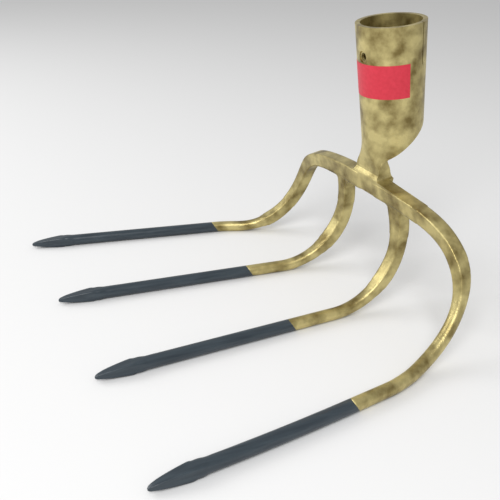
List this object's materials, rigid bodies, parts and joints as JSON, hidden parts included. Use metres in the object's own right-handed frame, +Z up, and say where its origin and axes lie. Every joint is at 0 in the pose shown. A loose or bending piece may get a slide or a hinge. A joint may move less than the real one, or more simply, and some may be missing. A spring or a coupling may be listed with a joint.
{
  "type": "bent tine fork",
  "caption": "Bent fork head for raking muck or crops: round tines bent forward from a flat forged crosshead below a tapered socket for a wooden handle.",
  "frame": {"origin": "centre of the socket's mouth, where the handle goes in", "axes": "+X across the tines, -Y towards the tines' points, +Z up; the head stands on its tines"},
  "size_m": [0.2696, 0.2214, 0.1726],
  "materials": {
    "gold_lacquered_steel": "translucent gold lacquer over rough forged steel",
    "black_dipped_steel": "blue-black dipped paint, worn at the ground points",
    "printed_paper": null
  },
  "bodies": {
    "root": {"socket": "gold_lacquered_steel", "throat": "gold_lacquered_steel", "crosshead": "gold_lacquered_steel", "left_outer_bend": "gold_lacquered_steel", "left_inner_bend": "gold_lacquered_steel", "right_inner_bend": "gold_lacquered_steel", "right_outer_bend": "gold_lacquered_steel", "left_outer_tine": "black_dipped_steel", "left_inner_tine": "black_dipped_steel", "right_inner_tine": "black_dipped_steel", "right_outer_tine": "black_dipped_steel", "label": "printed_paper"}
  },
  "joints": []
}
